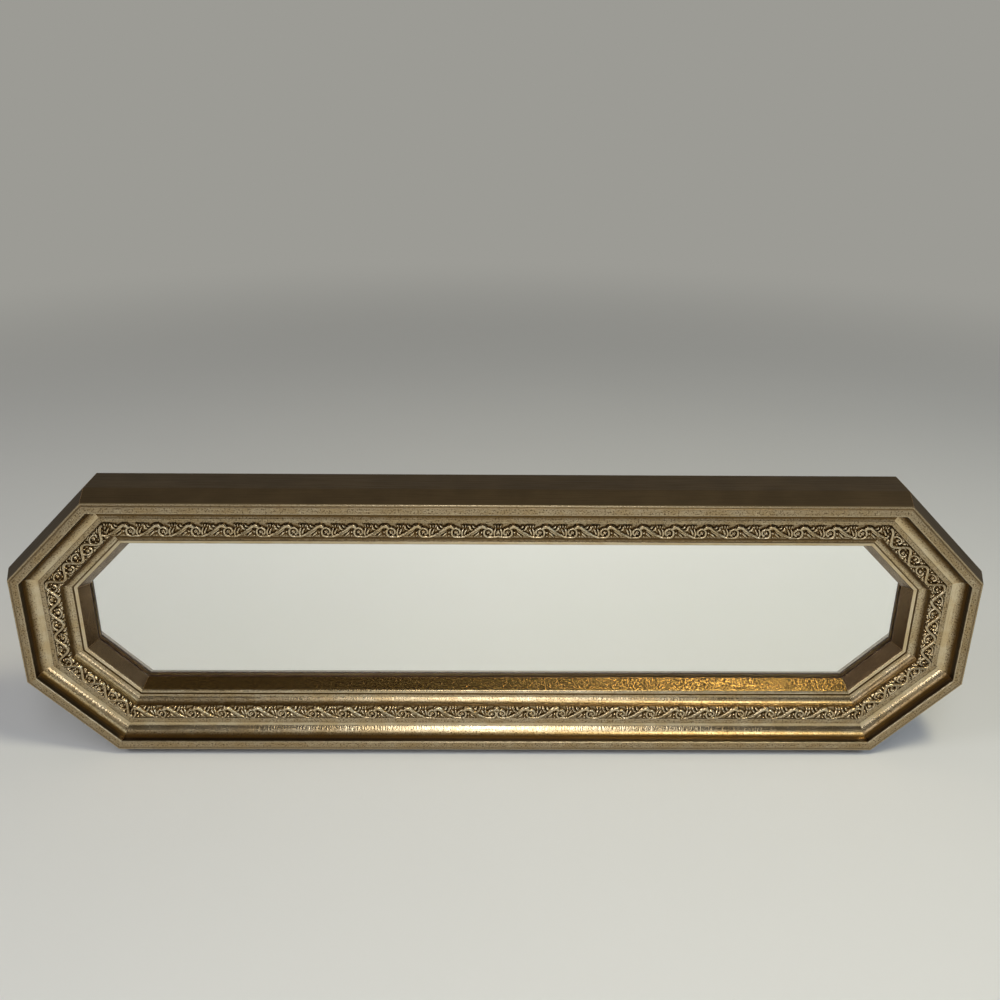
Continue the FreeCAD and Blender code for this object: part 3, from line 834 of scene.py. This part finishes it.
def make_short_tile():
    """Waving vine of the short rails, with a scroll, a flower and leaves in each of its two bays."""
    tile = Tile(SHORT_PERIOD)
    scroll = [(0.98, 0.4), (0.86, 3.0), (0.58, 4.3), (0.28, 3.2), (0.30, 0.9)]
    for number, hand in enumerate((1, -1)):
        place = partial(bay_place, number, hand)
        tile.raise_leaf([place(0.06, 2.8), place(-0.02, 4.0), place(-0.06, 5.5)], 1.1, 2.5)
        tile.raise_leaf([place(0.16, 4.0), place(0.22, 4.8), place(0.40, 5.5)], 0.9, 2.3)
        tile.raise_leaf([place(0.74, 5.5), place(0.90, 5.0), place(1.00, 3.6)], 1.0, 2.5)
        tile.raise_stem([place(*point) for point in scroll], 0.8, 2.8)
        tile.raise_flower(place(0.55, 1.7), 1.05, 5, 3.1)
        for share, side in ((0.36, -0.9), (0.66, -1.2), (0.18, -5.0), (0.84, -5.0)):
            tile.raise_berry(place(share, side), 0.8, 2.5)
    shares = np.linspace(0, 1, 25)
    middle = STRIP_WIDTH / 2
    wave = [(SHORT_PERIOD * share, middle + VINE_SWING * math.sin(2 * math.pi * share)) for share in shares]
    tile.raise_stem(wave, 1.25, RELIEF_HEIGHT)
    return tile


def strip_values(rail, tile, field, along, across):
    """Values of a tile's field on a strip: long ones are mirrored about the palmette at their middle."""
    if rail.name not in LONG_FLOWS:
        return tile.sampled(field, along + tile.period / 4, across)
    flow = LONG_FLOWS[rail.name]
    upward = STRIP_WIDTH - across if rail.name == "top" else across
    return tile.sampled(field, flow.way * np.abs(along) + flow.start, upward)


def build_ornament(rail, tile, material):
    """One strip of scroll ornament as a closed relief in the channel of its rail."""
    rows = round(STRIP_WIDTH / RELIEF_STEP) + 1
    columns = round(rail.run / RELIEF_STEP) + 1
    across = np.tile(np.linspace(0, STRIP_WIDTH, rows), (columns, 1))
    along = np.linspace(-1, 1, columns)[:, None] * (half_run(rail, STRIP_OUTER + across) - MITRE_GAP)
    edge = np.clip(np.minimum(across, STRIP_WIDTH - across) / EDGE_SHOULDER, 0, 1)
    shoulder = EDGE_HEIGHT_SHARE + (1 - EDGE_HEIGHT_SHARE) * np.sqrt(edge)
    relief = strip_values(rail, tile, tile.field, along, across) * shoulder
    height = np.minimum(BED_HEIGHT + relief, RELIEF_HEIGHT)
    hollow = strip_values(rail, tile, tile.hollows(), along, across)
    faces = []
    for column in range(columns - 1):
        for row in range(rows - 1):
            near, far = column * rows + row, (column + 1) * rows + row
            faces.append((near, near + 1, far + 1, far))
    rim = [column * rows for column in range(columns)]
    rim += [(columns - 1) * rows + row for row in range(1, rows)]
    rim += [column * rows + rows - 1 for column in reversed(range(columns - 1))]
    rim += [row for row in reversed(range(1, rows - 1))]
    bed = rows * columns
    for number, index in enumerate(rim):
        following = (number + 1) % len(rim)
        faces.append((index, rim[following], bed + following, bed + number))
    faces.append(tuple(bed + number for number in range(len(rim))))
    all_along = np.append(along, along.flat[rim])
    all_across = np.append(across, across.flat[rim])
    all_height = np.append(height, np.zeros(len(rim)))
    all_hollow = np.append(hollow, np.ones(len(rim)))
    points = on_rail(rail, all_along, CHANNEL_DEPTH - all_height, STRIP_OUTER + all_across)
    node = f"{rail.name}_ornament"
    piece = add_mesh(f"{rail.name}_scroll", points, faces, len(rim) + 1, node)
    piece.data.materials.append(material)
    # painted shade in the ornament's hollows over a real wash, and painted highlight with real rubbing on
    # its heights
    add_values(piece, "grime_and_shade", np.clip(LEVEL_GRIME_AND_SHADE + HOLLOW_GRIME_AND_SHADE * all_hollow, 0, 1))
    add_values(piece, "wear", np.clip(-HEIGHT_WEAR_AND_HIGHLIGHT * all_hollow - WEAR_AND_HIGHLIGHT_OFFSET, 0, 1))
    add_values(piece, "run", run_places(rail, all_along, all_across), "FLOAT_VECTOR")


# Studio

FLOOR_HALF = 30.0
FADE_START = 0.9
FADE_END = 2.2

Lamp = namedtuple("Lamp", "name place width depth power tint")
LAMPS = (
    Lamp("front_panel", (0.02, -1.35, 1.05), 0.38, 2.0, 12.2, (1.0, 0.985, 0.96)),
    Lamp("left_lamp", (-1.9, -0.9, 1.5), 0.8, 0.8, 12.4, (1.0, 0.98, 0.95)),
    Lamp("right_lamp", (1.9, -0.9, 1.5), 0.8, 0.8, 10.2, (0.72, 0.87, 1.0)),
    Lamp("overhead_lamp", (0.5, -0.42, 1.45), 0.38, 0.30, 8.6, (1.0, 0.90, 0.60)),
)


def add_floor():
    """A wide pale floor, which fades far from the frame into the colour of the surroundings."""
    material, tree, shader = new_material("studio_floor")
    place = object_place(tree)
    mottle = noise_value(tree, place, 3.0)
    finish_shader(
        tree, shader,
        Base_Color=mixed(tree, mottle, colour(221, 224, 229), colour(225, 228, 233)),
        Roughness=0.7,
    )
    distance = add_node(tree, "ShaderNodeVectorMath", {"operation": "LENGTH"})
    tree.links.new(place, distance.inputs[0])
    ray = add_node(tree, "ShaderNodeLightPath").outputs
    seen = combined(tree, "MAXIMUM", ray["Is Camera Ray"], ray["Is Glossy Ray"])
    seen = combined(tree, "MAXIMUM", seen, ray["Is Transmission Ray"])
    far = between(tree, distance.outputs["Value"], FADE_START, FADE_END)
    glow = add_node(tree, "ShaderNodeEmission", Color=BACKDROP, Strength=1.0)
    blend = add_node(tree, "ShaderNodeMixShader", Fac=combined(tree, "MULTIPLY", seen, far))
    tree.links.new(shader.outputs["BSDF"], blend.inputs[1])
    tree.links.new(glow.outputs["Emission"], blend.inputs[2])
    tree.links.new(blend.outputs["Shader"], tree.nodes["Material Output"].inputs["Surface"])
    corners = [(-FLOOR_HALF, -FLOOR_HALF, 0), (FLOOR_HALF, -FLOOR_HALF, 0)]
    corners += [(FLOOR_HALF, FLOOR_HALF, 0), (-FLOOR_HALF, FLOOR_HALF, 0)]
    mesh = bpy.data.meshes.new("floor")
    mesh.from_pydata(corners, [], [(0, 1, 2, 3)])
    mesh.materials.append(material)
    floor = bpy.data.objects.new("floor", mesh)
    bpy.context.scene.collection.objects.link(floor)


def add_world():
    """Studio surroundings: one pale tone as seen, and as a light pale behind the frame and dim elsewhere."""
    world = bpy.data.worlds.new("studio")
    bpy.context.scene.world = world
    world.use_nodes = True
    tree = world.node_tree
    direction = add_node(tree, "ShaderNodeTexCoord").outputs["Generated"]
    parts = add_node(tree, "ShaderNodeSeparateXYZ", Vector=direction).outputs
    shade = mixed(tree, between(tree, parts["Y"], -0.35, 0.35), colour(74, 70, 64), BACKDROP)
    shade = mixed(tree, between(tree, parts["Z"], 0.25, 0.85), shade, colour(84, 81, 76))
    seen = add_node(tree, "ShaderNodeLightPath").outputs["Is Camera Ray"]
    shade = mixed(tree, seen, shade, BACKDROP)
    background = tree.nodes["Background"]
    tree.links.new(shade, background.inputs["Color"])
    background.inputs["Strength"].default_value = 1.0


def add_lamp(lamp):
    """An area light that faces the middle of the mirror."""
    light = bpy.data.lights.new(lamp.name, "AREA")
    light.shape = "RECTANGLE"
    light.size = lamp.width
    light.size_y = lamp.depth
    light.energy = lamp.power
    light.color = lamp.tint
    holder = bpy.data.objects.new(lamp.name, light)
    holder.location = lamp.place
    aim = Vector((0, FRONT, HEIGHT / 2)) - Vector(lamp.place)
    holder.rotation_euler = aim.to_track_quat("-Z", "Y").to_euler()
    bpy.context.scene.collection.objects.link(holder)


def add_camera():
    """The camera, turned by its yaw, pitch and roll."""
    forward = Vector((
        math.sin(CAMERA_YAW) * math.cos(CAMERA_PITCH),
        math.cos(CAMERA_YAW) * math.cos(CAMERA_PITCH),
        -math.sin(CAMERA_PITCH),
    ))
    level = Vector((math.cos(CAMERA_YAW), -math.sin(CAMERA_YAW), 0))
    upright = level.cross(forward)
    right = level * math.cos(CAMERA_ROLL) + upright * math.sin(CAMERA_ROLL)
    up = upright * math.cos(CAMERA_ROLL) - level * math.sin(CAMERA_ROLL)
    data = bpy.data.cameras.new("camera")
    data.sensor_width = SENSOR_WIDTH
    data.lens = LENS
    camera = bpy.data.objects.new("camera", data)
    turn = Matrix((right, up, -forward)).transposed().to_4x4()
    camera.matrix_world = Matrix.Translation(CAMERA_PLACE) @ turn
    bpy.context.scene.collection.objects.link(camera)
    bpy.context.scene.camera = camera


# The whole scene


def build_frame():
    """Rails, ornament and glass, which stand for the plainer solids of the model."""
    smooth_leaf = make_toned_leaf(
        "toned_leaf", colour(126, 105, 80), colour(116, 96, 72), speckle_and_glint_shade=0.2, grain_height=0.00008,
    )
    grained_leaf = make_toned_leaf(
        "grained_leaf", colour(132, 107, 64), colour(122, 98, 57), speckle_and_glint_shade=0.85, grain_height=0.00042,
    )
    finishes = {
        "leaf": make_leaf("gilt_leaf", ripple_strength=0.28),
        "toned": smooth_leaf,
        "bronze": make_bronze(),
        "bole": make_bole(),
        "wood": make_raw_wood(),
    }
    bottom_finishes = {**finishes, "toned": grained_leaf}
    scroll_leaf = make_leaf("gilt_scroll", ripple_strength=0.2)
    long_tile, short_tile = make_long_tile(), make_short_tile()
    rails = find_rails()
    for rail in rails:
        build_rail(rail, bottom_finishes if rail.name == "bottom" else finishes)
        build_ornament(rail, long_tile if rail.name in LONG_FLOWS else short_tile, scroll_leaf)
    build_glass(rails, make_clear_glass(), make_silver())


def dress_nodes():
    """Gives the model's own nodes at the back their materials."""
    nickel = make_steel("plated_steel", colour(196, 194, 188), colour(150, 146, 138), smooth=0.22, rough=0.4)
    steel = make_steel("bright_steel", colour(178, 178, 176), colour(112, 106, 100), smooth=0.3, rough=0.5)
    node_finishes = {
        "filler_sheet": make_board("filler_card", colour(206, 200, 186), colour(182, 174, 158), weave=0.0),
        "backing_board": make_board("hardboard", colour(142, 104, 66), colour(96, 66, 40), weave=0.35),
        "retaining_points": steel,
        "mitre_nails": steel,
        "left_hanger_plate": nickel,
        "right_hanger_plate": nickel,
        "left_hanger_ring": nickel,
        "right_hanger_ring": nickel,
        "hanger_screws": nickel,
        "wall_bumpers": make_rubber(),
    }
    for name, finish in node_finishes.items():
        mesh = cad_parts[name].data
        mesh.materials.clear()
        mesh.materials.append(finish)


build_frame()
dress_nodes()
add_floor()
add_world()
for studio_lamp in LAMPS:
    add_lamp(studio_lamp)
add_camera()
bpy.context.scene.view_settings.view_transform = "Standard"
